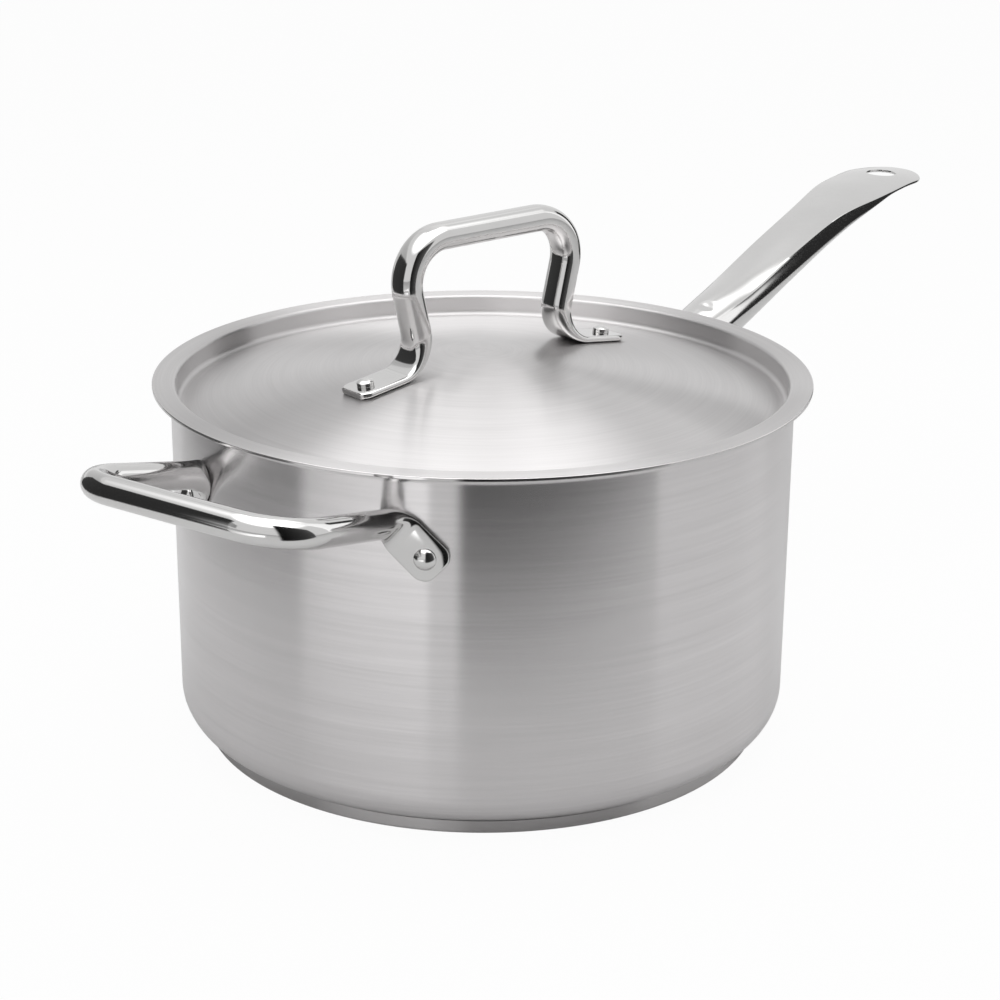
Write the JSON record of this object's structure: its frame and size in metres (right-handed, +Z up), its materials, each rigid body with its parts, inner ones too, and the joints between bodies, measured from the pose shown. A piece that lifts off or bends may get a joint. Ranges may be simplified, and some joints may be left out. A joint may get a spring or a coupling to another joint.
{
  "type": "saucepan",
  "caption": "Tall brushed-steel saucepan on a capsule base, with a long tube handle, a helper loop and a dished steel lid that lifts off by its bow handle.",
  "frame": {"origin": "middle of the flat underside of the base", "axes": "+Z up, +X along the long handle, +Y to its left"},
  "size_m": [0.5413, 0.2558, 0.2051],
  "materials": {
    "pan_steel": "brushed round the pan",
    "lid_steel": "brushed in rings",
    "handle_steel": "mirror polished",
    "rivet_steel": "polished",
    "base_steel": "satin, turned in rings underneath",
    "core_aluminium": "rolled, hidden in the base"
  },
  "bodies": {
    "pan": {"pan_shell": "pan_steel", "base_core": "core_aluminium", "base_cap": "base_steel", "side_handle": "handle_steel", "side_handle_rivet_left": "rivet_steel", "side_handle_rivet_right": "rivet_steel", "long_handle": "handle_steel", "long_handle_rivet_upper_left": "rivet_steel", "long_handle_rivet_upper_right": "rivet_steel", "long_handle_rivet_lower": "rivet_steel"},
    "lid": {"lid_shell": "lid_steel", "lid_handle": "handle_steel", "lid_handle_rivet_left": "rivet_steel", "lid_handle_rivet_right": "rivet_steel"}
  },
  "joints": [
    {"name": "lid_lift", "type": "slide", "parent": "pan", "child": "lid", "axis": [0, 0, 1], "range_m": [0, 0.15]}
  ]
}
